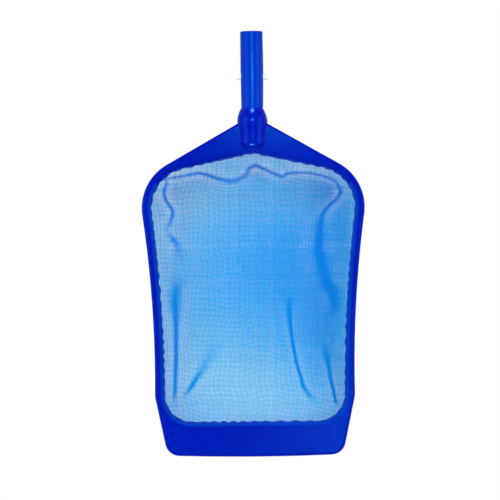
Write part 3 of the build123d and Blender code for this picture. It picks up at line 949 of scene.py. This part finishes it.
def thread_rings(order, along, sign):
    """The threads' three corners at every crossing, over one crossing thread and under the next."""
    centre = np.transpose(CROSSINGS, order + (2,))
    up = np.transpose(SURFACE_UP, order + (2,))
    side = unit(np.cross(np.transpose(along, order + (2,)), up))
    rows, columns = np.indices(centre.shape[:2])
    over = np.where((rows + columns) % 2 == 0, 1.0, -1.0) * sign
    uneven = 1 + UNEVENNESS * rng.standard_normal((centre.shape[0], 1))
    half = (np.transpose(SHARE, order) * uneven * PITCH / 2 * MM)[..., None]
    centre = centre + up * (over * THREAD_HALF * MM)[..., None]
    return np.stack([centre + side * half, centre + up * THREAD_HALF * MM, centre - side * half], axis=2)


def thread_mesh(name, along, order, sign):
    """All threads of one direction as closed strips. The order of axes puts them in the rows."""
    keep = np.transpose(INSIDE > -TUCK_IN, order)
    points = thread_rings(order, along, sign)[keep].reshape(-1, 3)
    corners, sizes = strip_faces(keep)
    mesh, used = filled_mesh(name, points, corners, sizes)
    # The attribute "fold" carries the painted shade to the netting's material.
    fold = np.transpose(PAINTED_SHADE_DEPTH, order)[keep]
    mask = mesh.attributes.new("fold", "FLOAT", "POINT")
    mask.data.foreach_set("value", np.repeat(fold, THREAD_SIDES)[used].astype(np.float32))
    across = np.transpose(cross_x, order)[keep] - left
    above = bottom - np.transpose(cross_drop, order)[keep]
    flat = np.repeat(np.stack([across, above], axis=1) / (bottom - top), THREAD_SIDES, axis=0)
    flat += np.tile(UV_SPREAD * np.array([[1, 0], [0, 1], [-1, 0]]), (int(keep.sum()), 1))
    cloth = mesh.uv_layers.new(name="OFBake")
    cloth.data.foreach_set("uv", flat[corners].astype(np.float32).ravel())
    return link(name, mesh)


warp = thread_mesh("net_warp", ALONG_WARP, (0, 1), 1)
weft = thread_mesh("net_weft", ALONG_WEFT, (1, 0), -1)
for piece in (warp, weft):
    piece.data.polygons.foreach_set("use_smooth", [True] * len(piece.data.polygons))
    print(piece.name, len(piece.data.loops) - 2 * len(piece.data.polygons), "triangles")

# %% [markdown]
# ## Hem
#
# The net's edge is sewn in a folded tape round a cord. The tape's lip lies over the groove's inner wall
# and its tucks peek into the opening, where the edge can be seen to be slightly scalloped. The rest goes
# down in the groove, round the cord, and the clamp ring locks it there. Both pieces are closed sections
# swept along the traced edge, so their gaps to the plastic are the same all the way round.

# %% Sweep along the edge
def swept(name, out, depth):
    """A closed section swept round the opening. out and depth are arrays of (station, corner), in mm."""
    stations, corners = out.shape
    step = OUTLINE_STEPS // stations
    base, away = OUTLINE[::step], unit(NORMALS[::step])
    flat = base[:, None] + away[:, None] * (out * MM)[..., None]
    points = np.stack([flat[..., 0], np.broadcast_to(depth, out.shape) * MM, flat[..., 1]], axis=-1)
    i, k = np.indices((stations, corners))
    here, after, beside = i * corners, (i + 1) % stations * corners, (k + 1) % corners
    faces = np.stack([here + k, here + beside, after + beside, after + k], axis=-1)
    piece = link(name, mesh_of(name, points.reshape(-1, 3), faces.reshape(-1, 4)))
    piece.data.shade_smooth()
    return piece


# %% Hem tape
TAPE_THICK = 0.32
# The fold's middle line: outwards from the opening's edge, and back from the middle plane, in mm.
TAPE_PATH = (
    (0.0, 4.02), (1.6, 4.02), (2.15, 3.85), (2.36, 3.4), (2.38, 0.7), (2.8, 0.26),
    (6.0, 0.26), (6.42, 0.7), (6.44, 3.2), (6.1, 3.68), (2.9, 3.68),
)
LIP_REACH = 1.2
SCALLOP = 0.8
SCALLOPS = 71


def tape_section(lip):
    """Corners of the folded tape round its section, for lips that reach that far into the opening."""
    stations = len(lip)
    path = np.broadcast_to(np.array(TAPE_PATH), (stations, len(TAPE_PATH), 2)).copy()
    tip = np.stack([-lip, np.full(stations, TAPE_PATH[0][1])], axis=-1)
    path = np.concatenate([tip[:, None], path], axis=1)
    ahead = unit(np.gradient(path, axis=1))
    aside = np.stack([-ahead[..., 1], ahead[..., 0]], axis=-1) * TAPE_THICK / 2
    return np.concatenate([path + aside, (path - aside)[:, ::-1]], axis=1), path


turn = np.linspace(0, 2 * math.pi, OUTLINE_STEPS // 2, endpoint=False)
# The scallops wander in length and fade in and out, as stitches pull a tape unevenly.
drift = 0.5 + 0.5 * np.sin(9 * turn + 1.7 * np.sin(4 * turn))
reach = LIP_REACH + SCALLOP * np.sin(SCALLOPS * turn + 2.5 * np.sin(7 * turn)) * (0.4 + 0.6 * drift)
section, fold_path = tape_section(reach)
tape = swept("hem_tape_cloth", section[..., 0], section[..., 1])

# %% Hem cord
CORD_OUT = 4.4
CORD_DEPTH = 1.95
CORD_RADIUS = 1.15
STRANDS = 3
STRAND_BULGE = 0.10
LAY_MM = 9.0
CORD_CORNERS = 12

corner = np.linspace(0, 2 * math.pi, CORD_CORNERS, endpoint=False)
twists = round(PERIMETER / MM / LAY_MM)
twist = np.linspace(0, 2 * math.pi * twists, OUTLINE_STEPS, endpoint=False)[:, None]
bulge = CORD_RADIUS + STRAND_BULGE * np.cos(STRANDS * (corner[None] - twist / STRANDS))
cord = swept("hem_cord_rope", CORD_OUT + bulge * np.cos(corner), CORD_DEPTH + bulge * np.sin(corner))
print("cord:", twists, "twists,", len(cord.data.polygons), "faces")

# %% [markdown]
# ## Netting finish
#
# The threads are matt polyester, dyed a light blue. The material reads the fold mask that was stored on
# the threads and mixes towards a deeper blue: painted shade in the creases and where the weave is fuller.
# Only a very low specular level is right here: a brighter one would turn thousands of thin threads white.

# %% Netting material
FIBRE_SCALE = 5200.0
DYE_SCALE = 14.0
THREAD_ROUGHNESS = (0.55, 0.75)
THREAD_BUMP = (0.3, 0.0001)
THREAD_SPECULAR = 0.05
PALE_BLUES = ((0.006, 0.45, 0.84), (0.005, 0.43, 0.82))
# The deeper blue that the threads mix towards: painted shade.
PAINTED_SHADE_BLUE = (0.0, 0.22, 0.83)


def netting():
    """Soft polyester thread in a light blue, with painted shade: deeper blue in creases and fuller weave.
    """
    material, tree, shader = new_material("netting_blue_painted_shade")
    mask = tree.nodes.new("ShaderNodeAttribute")
    mask.attribute_name = "fold"
    slow = remap(tree, noise(tree, DYE_SCALE).outputs["Fac"], *NOISE_SPREAD)
    pale = mix_colour(tree, slow, *PALE_BLUES)
    # Painted shade: the fold mask mixes the threads towards the deeper blue.
    tree.links.new(mix_colour(tree, mask.outputs["Fac"], pale, PAINTED_SHADE_BLUE), shader.inputs["Base Color"])
    fibre = noise(tree, FIBRE_SCALE).outputs["Fac"]
    rough = remap(tree, fibre, *NOISE_SPREAD, *THREAD_ROUGHNESS)
    tree.links.new(rough, shader.inputs["Roughness"])
    tree.links.new(bump(tree, fibre, *THREAD_BUMP), shader.inputs["Normal"])
    shader.inputs["Specular IOR Level"].default_value = THREAD_SPECULAR
    return material


NETTING = netting()
print("netting:", NETTING.name)


# %% [markdown]
# ## Tape and cord finish
#
# The hem's tape and cord are woven too, but far finer than the net, so here a texture does the work:
# small cells for the weave's knuckles, fibre noise over them, and a slow change of the dye. A tinted
# sheen gives the soft edge of a textile without greying its blue.

# %% Tape and cord material
WOVEN_SPECULAR = 0.15
SHEEN = 0.2
SHEEN_BLUE = (0.05, 0.35, 1.0, 1.0)
TAPE_FIBRE_SCALE = 3800.0
TAPE_DYE_SCALE = 40.0
CELL_EDGE = (0.1, 0.6)
CELL_DEPTH = 0.5
WOVEN_BUMP = (0.4, 0.0002)
WOVEN_VARIATION = 0.15


def woven_tape(name, colour, deep, rows, rough):
    """Narrow woven goods: small cells, fibre noise over them and a slow change of colour."""
    material, tree, shader = new_material(name)
    fibre = noise(tree, TAPE_FIBRE_SCALE, detail=3.0).outputs["Fac"]
    slow = remap(tree, noise(tree, TAPE_DYE_SCALE).outputs["Fac"], *BATCH_SPREAD)
    cells = tree.nodes.new("ShaderNodeTexVoronoi")
    place = tree.nodes.new("ShaderNodeTexCoord")
    tree.links.new(place.outputs["Object"], cells.inputs["Vector"])
    cells.inputs["Scale"].default_value = rows
    weave = remap(tree, cells.outputs["Distance"], *CELL_EDGE)
    base = mix_colour(tree, slow, colour, deep)
    base = mix_colour(tree, maths(tree, "MULTIPLY", weave, CELL_DEPTH), base, deep)
    tree.links.new(base, shader.inputs["Base Color"])
    matt = remap(tree, fibre, *NOISE_SPREAD, rough, rough + WOVEN_VARIATION)
    tree.links.new(matt, shader.inputs["Roughness"])
    tree.links.new(bump(tree, maths(tree, "ADD", weave, fibre), *WOVEN_BUMP), shader.inputs["Normal"])
    shader.inputs["Specular IOR Level"].default_value = WOVEN_SPECULAR
    shader.inputs["Sheen Weight"].default_value = SHEEN
    shader.inputs["Sheen Tint"].default_value = SHEEN_BLUE
    return material


TAPE_BLUE = woven_tape("tape_blue", (0.0, 0.050, 0.54), (0.0, 0.032, 0.44), rows=1500.0, rough=0.65)
CORD_BLUE = woven_tape("cord_blue", (0.0, 0.08, 0.60), (0.0, 0.05, 0.50), rows=1100.0, rough=0.7)
print("hem:", TAPE_BLUE.name, CORD_BLUE.name)

# %% [markdown]
# ## Telling the frame about the soft goods
#
# None of the soft pieces moves with the clip, so all ride on the root. Both directions of thread stand
# for the CAD bag, and the tape and cord for their own blocks.

for piece in (warp, weft):
    piece.data.materials.append(NETTING)
    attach(piece, "root")
    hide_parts("net_bag")

for piece, material, node in ((tape, TAPE_BLUE, "hem_tape"), (cord, CORD_BLUE, "hem_cord")):
    piece.data.materials.append(material)
    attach(piece, "root")
    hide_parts(node)
